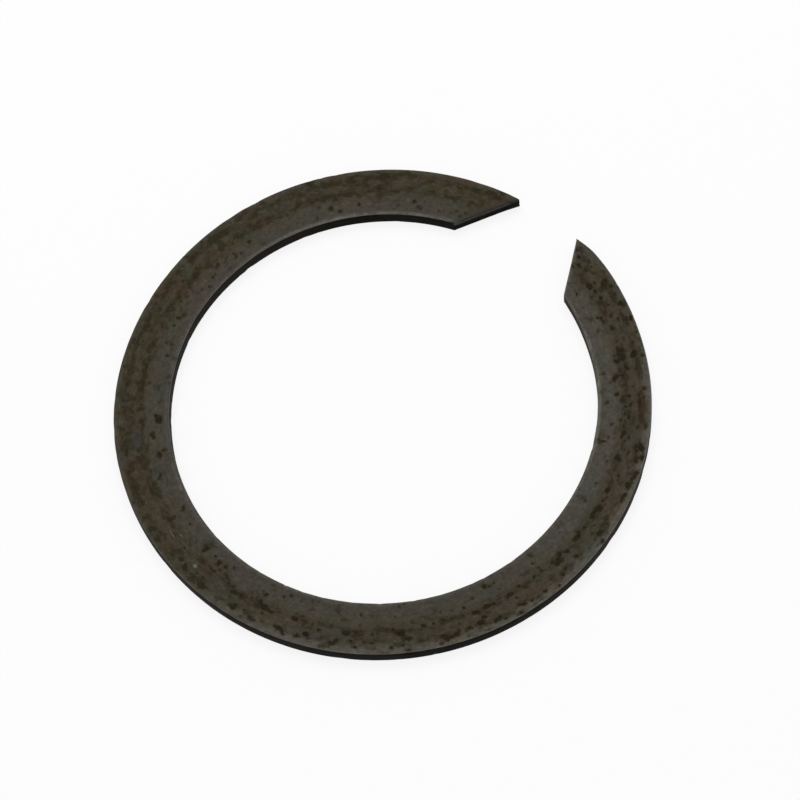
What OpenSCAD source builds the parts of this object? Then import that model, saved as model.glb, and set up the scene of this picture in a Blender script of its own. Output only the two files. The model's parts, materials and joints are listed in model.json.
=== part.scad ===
// Open snap ring that sits in a groove round a shaft: one flat hoop of spring steel with a gap in it.
// Both ends are cut on a slant, so the gap is narrower at the rim than at the bore. Its pointed
// corners hold the tips of spreading pliers and let a pick get underneath.
// The ring lies on z = 0, its axis is the Z axis and the middle of the gap is on +Y.

/* [Hoop] */
// Inner diameter of the relaxed ring
bore_d = 48; // [40:0.5:80]
// Width of the strip, from the bore to the rim
strip_w = 6; // [4:0.25:8]
// Thickness of the strip, along the shaft
strip_t = 1.75; // [1.2:0.05:3]
// Radius tumbled on every long edge of the strip
edge_r = 0.1; // [0.06:0.01:0.1]

/* [Gap] */
// Opening between the two points, measured at the rim as if they were sharp
gap_w = 8.4; // [5:0.1:12]
// Angle between each cut and the middle line of the gap
cut_slant = 28.5; // [0:0.5:30]
// Radius that blunts each point, where the cut meets the rim
point_r = 0.22; // [0.22:0.02:0.6]
// Radius that blunts each heel, where the cut meets the bore
heel_r = 0.4; // [0.24:0.02:1]

/* [Hidden] */
$fn = 180;
blackened_steel = [0.243, 0.227, 0.188];
// How far a cutter runs past what it cuts
overrun = 2;
// How far the cleared gap stops short of the cut faces, which have cutters of their own
face_skin = 0.5;
// Share by which a corner cutter is drawn larger than its corner
corner_spare = 1.5;
// How far a blunted corner stands out past an exact blend, so that it meets both faces at a faint edge
corner_lip = 0.015;
edge_fn = 32;

bore_r = bore_d / 2;
rim_r = bore_r + strip_w;
// Directions in plan at the right-hand cut: along it from the point to the heel, and into the steel
along_cut = [sin(cut_slant), -cos(cut_slant)];
into_steel = [cos(cut_slant), sin(cut_slant)];
// How far the line of the cut passes from the ring's axis
cut_offset = [gap_w / 2, sqrt(rim_r^2 - (gap_w / 2)^2)] * into_steel;

// The place on the right-hand cut, moved into the steel by inset, that is a radius away from the axis
function on_cut(radius, inset) =
    (cut_offset + inset) * into_steel - sqrt(radius^2 - (cut_offset + inset)^2) * along_cut;

sharp_point = on_cut(rim_r, 0);
sharp_heel = on_cut(bore_r, 0);
point_centre = on_cut(rim_r - point_r, point_r);
heel_centre = on_cut(bore_r + heel_r, heel_r);
cut_length = norm(sharp_point - sharp_heel);

// Upright section of a strip of the given width, with its edges tumbled round
module strip_section(width) {
    translate([0, edge_r]) square([width, strip_t - 2 * edge_r]);
    translate([edge_r, 0]) square([width - 2 * edge_r, strip_t]);
    for (x = [edge_r, width - edge_r], y = [edge_r, strip_t - edge_r])
        translate([x, y]) circle(edge_r, $fn = edge_fn);
}

// The closed hoop that the gap is cut from
module hoop() {
    rotate_extrude() translate([bore_r, 0]) strip_section(strip_w);
}

// Space between the two ends, short of the cut faces themselves
module gap_space() {
    inner = sharp_heel - face_skin * into_steel + overrun * along_cut;
    outer = sharp_point - face_skin * into_steel - overrun * along_cut;
    translate([0, 0, -overrun]) linear_extrude(strip_t + 2 * overrun)
        polygon([inner, outer, [-outer.x, outer.y], [-inner.x, inner.y]]);
}

// Everything that the right-hand cut takes off: its face and the round along the face's two edges
module slant_cut() {
    translate([sharp_point.x, sharp_point.y, 0]) rotate([90, 0, cut_slant])
        translate([0, 0, -overrun]) linear_extrude(cut_length + 2 * overrun)
            difference() {
                translate([-overrun, -overrun]) square([overrun + edge_r, strip_t + 2 * overrun]);
                strip_section(strip_w);
            }
}

// What is lost where a sharp corner is blunted by a radius about a centre in the steel
module blunting(centre, radius, corner, along_face, along_arc) {
    reach = corner_spare * radius;
    button_r = radius + corner_lip;
    difference() {
        translate([0, 0, -overrun]) linear_extrude(strip_t + 2 * overrun)
            polygon([
                centre,
                centre + reach * along_face,
                centre + corner_spare * (corner - centre),
                centre + reach * along_arc
            ]);
        translate([centre.x, centre.y, 0]) rotate_extrude() difference() {
            translate([-button_r, 0]) strip_section(2 * button_r);
            translate([-2 * button_r, -overrun]) square([2 * button_r, strip_t + 2 * overrun]);
        }
    }
}

// The right-hand end, as all that it takes away from the hoop
module end_cut() {
    slant_cut();
    blunting(point_centre, point_r, sharp_point, -into_steel, point_centre / norm(point_centre));
    blunting(heel_centre, heel_r, sharp_heel, -into_steel, -heel_centre / norm(heel_centre));
}

module retaining_ring() {
    color(blackened_steel) difference() {
        hoop();
        gap_space();
        end_cut();
        mirror([1, 0, 0]) end_cut();
    }
}

retaining_ring();
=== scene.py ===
"""Open snap ring in worn, rust-freckled spring steel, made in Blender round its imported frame."""
import json
import math

import bpy
import numpy as np
from mathutils import Matrix, Vector


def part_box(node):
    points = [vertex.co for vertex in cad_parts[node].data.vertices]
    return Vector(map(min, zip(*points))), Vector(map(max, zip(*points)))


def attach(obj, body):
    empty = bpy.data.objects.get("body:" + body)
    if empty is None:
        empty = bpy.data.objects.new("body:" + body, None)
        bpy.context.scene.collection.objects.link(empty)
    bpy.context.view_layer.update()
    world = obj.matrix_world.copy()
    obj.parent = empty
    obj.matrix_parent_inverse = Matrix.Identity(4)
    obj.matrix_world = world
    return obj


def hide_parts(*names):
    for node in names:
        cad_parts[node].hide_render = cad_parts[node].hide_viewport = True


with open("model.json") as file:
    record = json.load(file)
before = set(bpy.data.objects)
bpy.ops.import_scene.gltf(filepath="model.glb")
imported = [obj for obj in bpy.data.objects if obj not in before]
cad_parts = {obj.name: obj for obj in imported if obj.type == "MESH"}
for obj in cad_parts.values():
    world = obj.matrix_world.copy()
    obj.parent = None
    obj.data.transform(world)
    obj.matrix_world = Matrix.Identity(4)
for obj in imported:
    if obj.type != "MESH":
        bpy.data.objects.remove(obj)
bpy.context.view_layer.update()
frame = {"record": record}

bl_info = {
    "name": "Open Snap Ring",
    "version": (1, 0, 0),
    "blender": (4, 5, 0),
    "location": "View3D > Sidebar > Snap Ring",
    "description": "Makes the worn spring steel of an open snap ring, with a stage to show it on",
    "category": "Mesh",
}

MM = 0.001
NODE = "retaining_ring"

node_low, node_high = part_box(NODE)
groove = next(m for m in frame["record"]["mounts"] if m["name"] == "shaft_groove")

# Cells of the ring's mesh: round the hoop, across the strip, and over each rounded edge
HOOP_COLUMNS = 940
POINT_ROWS = 8
CUT_ROWS = 20
HEEL_ROWS = 4
EDGE_ROWS = 5
WALL_ROWS = 3
# Share of the strip's half over which the rows bend from an end's own curve to round the hoop
END_EASE = 0.07
# Share of each cut, next to its point, that keeps the point's own edge radius
POINT_SHARE = 0.2
# How deep the whole skin lies inside the CAD's, in millimetres, and the gentle waves in it: how
# many are added up, how long they are, how high, and how many of the longest and of the shortest go
# into that length
SKIN_DEPTH = 0.002
WAVE_COUNT = 60
WAVE_LENGTH = 5.0
WAVE_HEIGHT = 0.005
WAVES_PER_LENGTH = (0.6, 2.2)
# Share of each half of the strip, from the side opposite the gap, that has pits and knocks
MARKED_SHARE = 0.95
# Millimetres from the rim to the two rows in which most of the rust lies
OUTER_ROW = 1.1
INNER_ROW = 2.8
# Rows of rust pits: millimetres from the rim to the row's middle and its spread, how many pits each
# face has, how many times longer than wide they may be, and how far the largest reaches in millimetres
RUST_ROWS = (
    (OUTER_ROW, 0.26, 175, 1.7, 0.32),
    (INNER_ROW, 0.30, 215, 1.6, 0.32),
    (4.55, 0.50, 95, 1.2, 0.33),
    (1.95, 0.60, 60, 1.4, 0.30),
    (0.45, 0.12, 35, 1.5, 0.28),
)
# Millimetres from the rim between which the pits' middles stay, and how far a pit reaches down
PIT_MARGINS = (0.3, 5.5)
PIT_REACH_DOWN = 0.3
# How small and how large a pit is, as shares of its row's largest, how strong it is, and how strong
# pits that run into each other get at most
PIT_SIZES = (0.55, 1.0)
PIT_STRENGTHS = (0.8, 1.3)
STRONGEST_PITTING = 1.3
# Knocks in the long edges: how many, how long and how far in they reach in millimetres, and the
# shallowest and deepest as square roots of shares of the nick depth
NICK_COUNT = 260
NICK_LENGTHS = (0.15, 0.7)
NICK_REACHES = (0.12, 0.24)
NICK_DEPTH_ROOTS = (0.15, 1.0)
# Stretch of the strip that bending has spread, in millimetres from the side opposite the gap
SWELL_FROM = -40.0
SWELL_TO = -2.5
# Stretch of the right-hand end that bending left straighter, in millimetres from the same side
SPREAD_FROM = 68.0
SPREAD_TO = 79.0
# Millimetres short of the CAD's box in y, from where the right-hand tip is drawn together
TIP_ROOM = 0.15
# Millimetres from a cut, past which nothing depends on it
FAR_FROM_CUT = 30.0
# Marks that stand out on the top face: colour, strength, place along the strip from the side
# opposite the gap, place in from the rim, half length and half width, in millimetres
SINGLE_MARKS = (
    ("dark_rust", 1.0, 79.3, 1.45, 0.28, 0.22),
    ("dark_rust", 1.0, 80.2, 1.12, 0.32, 0.10),
    ("olive", 0.8, 76.6, 0.70, 0.70, 0.35),
    ("olive", 0.8, 56.2, 5.20, 0.70, 0.40),
    ("dark_rust", 0.9, 55.3, 4.95, 0.16, 0.42),
    ("red_rust", 0.6, 59.2, 0.95, 1.90, 0.70),
    ("dark_rust", 0.8, 60.7, 3.20, 0.45, 0.38),
    ("dark_rust", 0.7, 60.4, 1.35, 0.90, 0.20),
    ("blue_steel", 0.9, -20.3, 2.45, 1.25, 0.55),
    ("fleck", 0.7, -3.4, 1.99, 0.26, 0.20),
    ("fleck", 0.35, -7.9, 2.30, 0.50, 0.10),
    ("fleck", 0.5, -7.2, 3.05, 0.26, 0.07),
    ("fleck", 0.4, -12.6, 5.65, 0.30, 0.10),
)

# Stretches over which a finish comes or goes, in millimetres along the strip from the side opposite
# the gap: to the left they are negative
SMEARED_TO_FRECKLED = (-20.0, 12.0)
LEFT_TO_RIGHT = (-1.0, 1.0)
DULL_RIM_ENDS = (-18.0, -4.0)
# The paler rim on the lit right-hand side is worn steel and a painted highlight
PALE_RIM_STARTS = (-8.0, 12.0)
PALE_RIM_ENDS = (58.0, 72.0)
PALE_HEEL_STARTS = (30.0, 50.0)
# The paler bore edge near the gap is worn steel and a painted highlight
PALE_BORE_STARTS = (40.0, 60.0)
# Where the walls' painted shade is lighter, on the left-hand and on the right-hand side
PALE_LEFT_WALL_STARTS = (-62.0, -50.0)
PALE_LEFT_WALL_ENDS = (-4.0, 4.0)
PALE_RIGHT_WALL_STARTS = (24.0, 44.0)
# Where the painted highlight along the tops of the walls starts
BRIGHT_WALL_STARTS = (46.0, 60.0)
# The same across the strip, in millimetres from the rim
RIM_FILM_STARTS = (0.15, 0.75)
DULL_RIM_FADES = (0.6, 1.2)
FILM_ENDS = (3.0, 4.0)
PALE_HEEL_ACROSS = (3.2, 4.4)
INNER_PITS_START = (3.5, 4.1)
CLEAN_STARTS = (3.6, 5.4)
# The same away from a cut, in millimetres
RUBBED_CUT = (0.3, 0.6)
# ROLLED_CUT is how far the painted shade on the left-hand cut's rolled-over edge reaches
ROLLED_CUT = (0.42, 0.62)
CUT_WALL = (0.02, 0.15)
# How far a surface is turned from flat, 0, to upright, 1, where an edge's rubbing and painted
# highlight start, where the painted shade on the rolled-over edge weakens, and where the walls' painted
# shade starts
RUBBED_EDGE = (0.02, 0.25)
ROLLED_EDGE = (0.35, 0.8)
WALL_STARTS = (0.4, 0.9)
# Stretches going up a wall, in millimetres below the top face
ROLLED_STARTS = (0.72, 0.22)
# The painted highlight along the tops of the walls comes in over this stretch
BRIGHT_TOP_STARTS = (0.6, 0.25)
# How deep a knock is, from 0 to 1, where it starts to show and where it shows in full
KNOCKS_SHOW = (0.1, 0.6)
# Levels of a noise between which the rubbing sets in, and the hue turns from green to red
RUB_STARTS = (0.3, 0.62)
HUE_TURNS = (0.36, 0.64)
# Soft rows of rubbed steel and of rust: middle and half width in millimetres from the rim
RIM_MARGIN = (0.16, 0.2)
WIDE_RIM_MARGIN = (0.35, 0.75)
BORE_MARGIN = (5.74, 0.18)
ROW_HALF_WIDTH = 0.5
# How much of each layer shows at most, from 0 to 1
RED_FILM = 0.8
HALOS = 0.75
BLOTCHES = 0.66
INNER_PITS = 0.3
RUST_COVER = 0.92
RUBBED_ALONG_CUT = 0.28
# Worn steel and painted highlight on the wide band by the rim, on the lit side
LIT_AND_RUBBED_WIDE_RIM = 0.34
RUBBED_HEEL = 0.12
# Bare steel and painted highlight on the rounded edges
LIT_AND_RUBBED_EDGES = 0.75
RUBBED_KNOCKS = 0.6
PALER_WALL_PATCHES = 0.22
WALL_RUST = 0.5
# Painted highlight along the tops of the walls
BRIGHT_WALL = 0.6
# How metallic the steel is where its edges are worn bare and carry the painted highlight
METAL_SHARE = 0.5
# How far the grain lightens and darkens the steel
SHADE_RANGE = 0.62
# Tints that the hue drifts between
GREENER = (0.968, 1.016, 0.955, 1.0)
REDDER = (1.058, 0.987, 0.955, 1.0)


# Sizes and colours


def length_setting(name, description, default, precision=5, **limits):
    """A length in metres that a user can change."""
    return bpy.props.FloatProperty(
        name=name, description=description, default=default, unit="LENGTH", precision=precision, **limits
    )


def angle_setting(name, description, degrees, **limits):
    """An angle that a user can change, given here in degrees."""
    return bpy.props.FloatProperty(
        name=name, description=description, default=math.radians(degrees), subtype="ANGLE", **limits
    )


def colour_setting(name, description, default):
    """A scene linear colour that a user can change."""
    return bpy.props.FloatVectorProperty(
        name=name, description=description, default=default, size=3, subtype="COLOR"
    )


class RingSizes(bpy.types.PropertyGroup):
    """Sizes of the flat strip and of its two ends."""

    rim_radius: length_setting(
        "Rim radius", "From the axis to the outer edge of the ring", node_high.x, min=0.01
    )
    bore_radius: length_setting(
        "Bore radius",
        "From the axis to the inner edge of the ring",
        groove["dims"]["r_mm"] * MM,
        min=0.005,
    )
    thickness: length_setting(
        "Thickness", "Height of the strip along the axis", node_high.z - node_low.z, min=0.0005
    )
    edge_radius: length_setting(
        "Edge radius", "Tumbled radius along the rim and the bore, on top", 0.00014, min=0.00005
    )
    under_edge_radius: length_setting(
        "Under edge radius",
        "Radius of all the edges underneath, which stayed sharper",
        0.00012,
        min=0.00005,
    )
    point_edge_radius: length_setting(
        "Point edge radius", "Tumbled radius round the two points, on top", 0.00012, min=0.00005
    )
    left_cut_edge: length_setting(
        "Left cut edge", "Radius that the shear rolled over the left-hand cut", 0.00042, min=0.00005
    )
    right_cut_edge: length_setting(
        "Right cut edge", "Radius along the right-hand cut, which stayed crisper", 0.00018, min=0.00005
    )
    left_cut_under: length_setting(
        "Left cut under edge",
        "Radius along the foot of the left-hand cut, where the shear broke through",
        0.0003,
        min=0.00005,
    )
    left_reach: length_setting(
        "Left reach",
        "From the middle of the gap to the left-hand point, as if it were sharp",
        0.0042,
        min=0.001,
    )
    right_reach: length_setting(
        "Right reach",
        "From the middle of the gap to the right-hand point, as if it were sharp",
        0.00394,
        min=0.001,
    )
    left_slant: angle_setting(
        "Left slant",
        "Angle between the left-hand cut and the middle line of the gap",
        28.5,
        min=0.0,
        max=math.radians(40),
    )
    right_slant: angle_setting(
        "Right slant",
        "Angle between the right-hand cut and the middle line of the gap",
        26.7,
        min=0.0,
        max=math.radians(40),
    )
    point_radius: length_setting("Point radius", "Radius that blunts each point", 0.00022, min=0.0002)
    point_keenness: bpy.props.FloatProperty(
        name="Point keenness",
        description="How far each point stands out of its radius, towards a sharp corner",
        default=1.0,
        min=0.0,
        max=1.0,
        subtype="FACTOR",
    )
    heel_radius: length_setting("Heel radius", "Radius that blunts each heel", 0.0004, min=0.0002)
    left_swell: length_setting(
        "Left swell",
        "How far rim and bore bulge on the left, where bending spread the strip",
        0.00017,
        min=0.0,
        max=0.0003,
    )
    right_spread: length_setting(
        "Right spread",
        "How far the right-hand end stands out of the circle, where bending left it straighter",
        0.00027,
        min=0.0,
        max=0.0004,
    )
    pit_depth: length_setting(
        "Pit depth", "How deep the largest rust pits go", 0.000022, precision=6, min=0.0
    )
    nick_depth: length_setting(
        "Nick depth", "How deep the largest knocks in the edges go", 0.00006, precision=6, min=0.0
    )
    seed: bpy.props.IntProperty(
        name="Seed",
        description="Picks where the pits, nicks and waves fall",
        default=7,
        min=0,
    )


class RingFinish(bpy.types.PropertyGroup):
    """Colours of the steel and of what has settled on it, as scene linear colours."""

    steel: colour_setting(
        "Steel", "Dulled blackened steel, where no rust has settled", (0.0625, 0.0560, 0.0415)
    )
    clean_steel: colour_setting(
        "Clean steel", "Cooler grey of the patches that stayed clean", (0.0605, 0.0562, 0.0485)
    )
    blue_steel: colour_setting(
        "Blue steel", "Bluish grey of the one patch that was scraped clean", (0.0460, 0.0420, 0.0430)
    )
    film: colour_setting(
        "Brown film", "Thin brown film that covers the outer half of the strip", (0.0385, 0.0312, 0.0175)
    )
    olive: colour_setting("Olive film", "Yellower film round old rust", (0.0500, 0.0440, 0.0240))
    red_rust: colour_setting("Red rust", "Warmer bloom of fresh rust", (0.0520, 0.0335, 0.0215))
    dark_rust: colour_setting("Dark rust", "Old rust in the pits and freckles", (0.0185, 0.0130, 0.0075))
    dark_olive: colour_setting("Dark olive rust", "Old rust with a green cast", (0.0180, 0.0165, 0.0090))
    # Bare steel of worn edges and knocks, which also paints a highlight on the rounded edges, the rim's
    # lit side, the bore near the gap and the tops of the walls
    bare_edge_and_highlight: colour_setting(
        "Bare edge", "Steel that shows where the edges are rubbed", (0.1550, 0.1480, 0.1300)
    )
    fleck: colour_setting("Fleck", "Pale scratches and specks of bright steel", (0.2100, 0.2000, 0.1800))
    # Painted shade: a darker colour on the rolled-over edge of the left-hand cut
    shaded_cut_edge: colour_setting(
        "Dark edge", "Oxide on the rolled-over edge of the left-hand cut", (0.0430, 0.0405, 0.0325)
    )
    # Painted shade: a near-black colour that stands in for the shade on the upright walls
    wall: colour_setting(
        "Wall oxide", "Thick black oxide on the upright walls", (0.0032, 0.0028, 0.0022)
    )
    # A lighter version of the walls' painted shade, over long stretches of the strip and in patches
    pale_wall: colour_setting(
        "Worn wall", "Thinner oxide, where the walls are worn", (0.0270, 0.0245, 0.0195)
    )


class StageSettings(bpy.types.PropertyGroup):
    """Where the camera stands, and how bright the studio is."""

    azimuth: angle_setting(
        "Camera azimuth", "Turn of the camera round the ring, from looking along +Y", 47.0
    )
    elevation: angle_setting("Camera elevation", "Height of the camera above the horizon", 64.11)
    roll: angle_setting("Camera roll", "Turn of the camera about its own line of sight", -8.08)
    distance: length_setting("Camera distance", "From the camera to the plane that it looks at", 0.35853)
    aim_right: length_setting(
        "Aim to the right",
        "How far the line of sight passes to the right of the ring's centre",
        0.001881,
        precision=6,
    )
    aim_up: length_setting(
        "Aim up", "How far the line of sight passes above the ring's centre", 0.001113, precision=6
    )
    lens: bpy.props.FloatProperty(
        name="Lens",
        description="Focal length on a 36 mm sensor",
        default=144.0,
        subtype="DISTANCE_CAMERA",
    )
    fill: bpy.props.FloatProperty(
        name="Fill light",
        description="Strength of the even light from all round",
        default=0.62,
        min=0.0,
        max=1.0,
    )
    lamp_power: bpy.props.FloatProperty(
        name="Lamp power",
        description="Power of the large soft lamp over the ring",
        default=1.6,
        min=0.0,
        unit="POWER",
    )


# The shape of the ring


def smooth_step(share):
    """Runs from 0 to 1 with level ends: 3x^2 - 2x^3 of the share clamped to 0..1."""
    x = np.clip(share, 0.0, 1.0)
    return x * x * (3.0 - 2.0 * x)


def cut_line(sizes, side):
    """The slanted cut of one end, drawn as if it were on the right: the way along it from the point
    to the heel, the way into the steel, and the sharp point where it meets the rim."""
    slant = sizes.right_slant if side == "right" else sizes.left_slant
    reach = sizes.right_reach if side == "right" else sizes.left_reach
    along = np.array([math.sin(slant), -math.cos(slant)])
    into = np.array([math.cos(slant), math.sin(slant)])
    return along, into, np.array([reach, math.sqrt(sizes.rim_radius**2 - reach**2)])


def end_curve(sizes, side):
    """Plan of one end, drawn as if it were on the right: round its point, down the cut, round its heel.

    Each place is a centre plus a radius times a direction that turns from square to the rim to
    square to the bore. Centre and radius are the point's, then slide to the heel's along the cut.
    Round the point the radius is drawn out towards the sharp corner, which is the radius over the
    cosine of the turn from the nearer flank. Returns places, outward directions, and how much of
    the cut's and of the point's own edge each place has, from 0 to 1.
    """
    along, into, sharp_point = cut_line(sizes, side)
    cut_offset = sharp_point @ into

    def on_cut(radius, inset):
        reach = cut_offset + inset
        return reach * into - math.sqrt(radius**2 - reach**2) * along

    point_centre = on_cut(sizes.rim_radius - sizes.point_radius, sizes.point_radius)
    heel_centre = on_cut(sizes.bore_radius + sizes.heel_radius, sizes.heel_radius)
    rim_turn = math.atan2(point_centre[1], point_centre[0])
    cut_turn = math.pi + math.atan2(into[1], into[0])
    bore_turn = math.pi + math.atan2(heel_centre[1], heel_centre[0])
    round_share = np.linspace(0.0, 1.0, POINT_ROWS + 1)[:-1]
    heel_share = np.linspace(0.0, 1.0, HEEL_ROWS + 1)[1:]
    turn = np.concatenate([
        rim_turn + (cut_turn - rim_turn) * round_share,
        np.full(CUT_ROWS + 1, cut_turn),
        cut_turn + (bore_turn - cut_turn) * heel_share,
    ])
    down_cut = np.linspace(0.0, 1.0, CUT_ROWS + 1)
    slide = np.concatenate([np.zeros(POINT_ROWS), down_cut, np.ones(HEEL_ROWS)])
    radius = (1.0 - slide) * sizes.point_radius + slide * sizes.heel_radius
    lean = np.minimum(turn[:POINT_ROWS] - rim_turn, cut_turn - turn[:POINT_ROWS])
    radius[:POINT_ROWS] *= 1.0 + sizes.point_keenness * (1.0 / np.cos(lean) - 1.0)
    direction = np.stack([np.cos(turn), np.sin(turn)], axis=1)
    centre = (1.0 - slide)[:, None] * point_centre + slide[:, None] * heel_centre
    places = centre + radius[:, None] * direction
    places[:, 1] = np.minimum(places[:, 1], places[0, 1])
    short_of_point = smooth_step(slide / POINT_SHARE)
    cut_share = short_of_point * np.where(slide < 1.0, 1.0, (bore_turn - turn) / (bore_turn - cut_turn))
    point_share = 1.0 - short_of_point
    point_share[:POINT_ROWS] = smooth_step(round_share * 2.0)
    return places, direction, cut_share, point_share


def end_edges(end, edge, cut_edge, point_edge):
    """Radius of the rounded edge at each place of an end: the strip's own, the cut's or the point's."""
    _, _, cut_share, point_share = end
    return edge + (cut_edge - edge) * cut_share + (point_edge - edge) * point_share


def face_plan(ends, edges):
    """Plan of a flat face as a grid, columns round the hoop by rows from the rim to the bore.

    The first column is the right-hand end curve, set in by its edge radius, and the last is the
    left-hand one's mirror image. Between them each row's angle runs the long way round, and each
    row's radius eases from its place on the end to an even spacing. Returns x and y.
    """
    radii = []
    angles = []
    for (places, direction, _, _), edge in zip(ends, edges):
        inner = places - edge[:, None] * direction
        radii.append(np.hypot(inner[:, 0], inner[:, 1]))
        angles.append(np.arctan2(inner[:, 0], -inner[:, 1]))
    even = np.linspace(radii[0][0], radii[0][-1], len(radii[0]))
    way = np.linspace(1.0, -1.0, HOOP_COLUMNS + 1)[:, None]
    near_right = smooth_step(1.0 - (1.0 - way) / END_EASE)
    near_left = smooth_step(1.0 - (1.0 + way) / END_EASE)
    radius = even + (radii[0] - even) * near_right + (radii[1] - even) * near_left
    angle = np.where(way > 0.0, angles[0], angles[1]) * way
    return radius * np.sin(angle), -radius * np.cos(angle)


def outline_loop(sizes, ends, face_x, face_y):
    """The closed outline in plan, its outward directions, and each place's index in the face's grid.

    It goes round the rim from the right-hand point to the left-hand one, down the left-hand end,
    back round the bore and up the right-hand end.
    """
    (right_places, right_way, _, _), (left_places, left_way, _, _) = ends
    columns, rows = face_x.shape
    mirror = np.array([-1.0, 1.0])
    rim_spoke = np.stack([face_x[:, 0], face_y[:, 0]], axis=1)
    rim_spoke /= np.linalg.norm(rim_spoke, axis=1, keepdims=True)
    bore_spoke = np.stack([face_x[:, -1], face_y[:, -1]], axis=1)[::-1]
    bore_spoke /= np.linalg.norm(bore_spoke, axis=1, keepdims=True)
    loop = np.concatenate([
        rim_spoke * sizes.rim_radius,
        left_places[1:-1] * mirror,
        bore_spoke * sizes.bore_radius,
        right_places[-2:0:-1],
    ])
    outward = np.concatenate([rim_spoke, left_way[1:-1] * mirror, -bore_spoke, right_way[-2:0:-1]])
    grid = np.arange(columns * rows).reshape(columns, rows)
    index = np.concatenate([grid[:, 0], grid[-1, 1:-1], grid[::-1, -1], grid[0, -2:0:-1]])
    return loop, outward, index


def loop_edges(columns, edge, edges):
    """Radius of the rounded edge at each place of the closed outline, in the outline's order."""
    right_edge, left_edge = edges
    straight = np.full(columns, edge)
    return np.concatenate([straight, left_edge[1:-1], straight, right_edge[-2:0:-1]])


def edge_profile(thickness, over, under):
    """Section of the strip's edge, from the top face down the wall to the bottom face.

    A quarter round of the upper radius, the upright wall, and a quarter round of the lower radius.
    Returns, rows by places: inset, height, how far the surface is turned outwards, and how far
    upwards. The first and last rows are left out, because the faces own them.
    """
    quarter = np.linspace(0.0, math.pi / 2, EDGE_ROWS + 1)[1:, None]
    wall = np.linspace(0.0, 1.0, WALL_ROWS + 1)[1:-1, None]
    flat = np.zeros_like(wall)
    back = quarter[::-1]
    inset = np.concatenate([
        over * (1.0 - np.sin(quarter)),
        flat * over,
        under * (1.0 - np.sin(back)),
    ])
    height = np.concatenate([
        thickness - over * (1.0 - np.cos(quarter)),
        thickness - over - wall * (thickness - over - under),
        under * (1.0 - np.cos(back)),
    ])
    outward = np.concatenate([np.sin(quarter), flat + 1.0, np.sin(back)])
    upward = np.concatenate([np.cos(quarter), flat, -np.cos(back)])
    return inset, height, outward, upward


def closed_shell(sizes):
    """Joins both faces and the edge between them into one closed skin.

    Returns places, outward normals, the four corners of every face, and how far each place is
    turned from flat, 0, to upright, 1.
    """
    ends = (end_curve(sizes, "right"), end_curve(sizes, "left"))
    over_edges = [
        end_edges(end, sizes.edge_radius, cut_edge, sizes.point_edge_radius)
        for end, cut_edge in zip(ends, (sizes.right_cut_edge, sizes.left_cut_edge))
    ]
    under = sizes.under_edge_radius
    under_edges = [
        end_edges(end, under, cut_edge, under)
        for end, cut_edge in zip(ends, (under, sizes.left_cut_under))
    ]
    top_x, top_y = face_plan(ends, over_edges)
    bottom_x, bottom_y = face_plan(ends, under_edges)
    loop, outward, index = outline_loop(sizes, ends, top_x, top_y)
    columns, rows = top_x.shape
    over_loop = loop_edges(columns, sizes.edge_radius, over_edges)
    under_loop = loop_edges(columns, under, under_edges)
    inset, height, turn_out, turn_up = edge_profile(sizes.thickness, over_loop, under_loop)

    face_count = top_x.size
    top = np.column_stack([top_x.ravel(), top_y.ravel(), np.full(face_count, sizes.thickness)])
    bottom = np.column_stack([bottom_x.ravel(), bottom_y.ravel(), np.zeros(face_count)])
    skirt_xy = loop[None] - inset[..., None] * outward[None]
    skirt = np.concatenate([skirt_xy, height[..., None]], axis=2)
    spread = np.broadcast_to(turn_out, height.shape)
    rise = np.broadcast_to(turn_up, height.shape)
    skirt_normal = np.concatenate([spread[..., None] * outward[None], rise[..., None]], axis=2)

    places = np.concatenate([top, skirt.reshape(-1, 3), bottom])
    up = np.tile([0.0, 0.0, 1.0], (face_count, 1))
    normals = np.concatenate([up, skirt_normal.reshape(-1, 3), -up])
    upright = np.concatenate([np.zeros(face_count), spread.ravel(), np.zeros(face_count)])

    grid = np.arange(face_count).reshape(columns, rows)
    quads = np.stack([grid[:-1, :-1], grid[:-1, 1:], grid[1:, 1:], grid[1:, :-1]], axis=2).reshape(-1, 4)
    under_quads = quads[:, ::-1] + face_count + height.size
    rings = np.arange(height.size).reshape(height.shape) + face_count
    rings = np.concatenate([index[None], rings, index[None] + face_count + height.size])
    following = np.roll(rings, -1, axis=1)
    sides = np.stack([rings[:-1], following[:-1], following[1:], rings[1:]], axis=2).reshape(-1, 4)
    return places, normals, np.concatenate([quads, under_quads, sides]), upright


def waves(places, random, count, length, height):
    """Gentle unevenness: the mean of many sine waves in random directions, scaled to 0..height."""
    headings = random.normal(size=(3, count))
    headings *= 2.0 * math.pi / (length * np.linalg.norm(headings, axis=0))
    headings *= random.uniform(*WAVES_PER_LENGTH, size=count)
    swell = np.sin(places @ headings + random.uniform(0.0, 2.0 * math.pi, size=count)).sum(axis=1)
    return height * np.clip(0.5 + 0.5 * swell / math.sqrt(2.0 * count), 0.0, 1.0)


def hollows(unrolled, centres, reaches, depths):
    """Sum of smooth hollows: depth times e to the minus squared distance, each with its own reach.

    Past three reaches along the strip nothing is left of a hollow.
    """
    far = 3.0
    total = np.zeros(len(unrolled))
    order = np.argsort(unrolled[:, 0])
    sorted_along = unrolled[order, 0]
    for centre, reach, depth in zip(centres, reaches, depths):
        span = [centre[0] - far * reach[0], centre[0] + far * reach[0]]
        first, last = np.searchsorted(sorted_along, span)
        near = order[first:last]
        gone = ((unrolled[near] - centre) / reach) ** 2
        total[near] += depth * np.exp(-gone.sum(axis=1))
    return total


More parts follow.
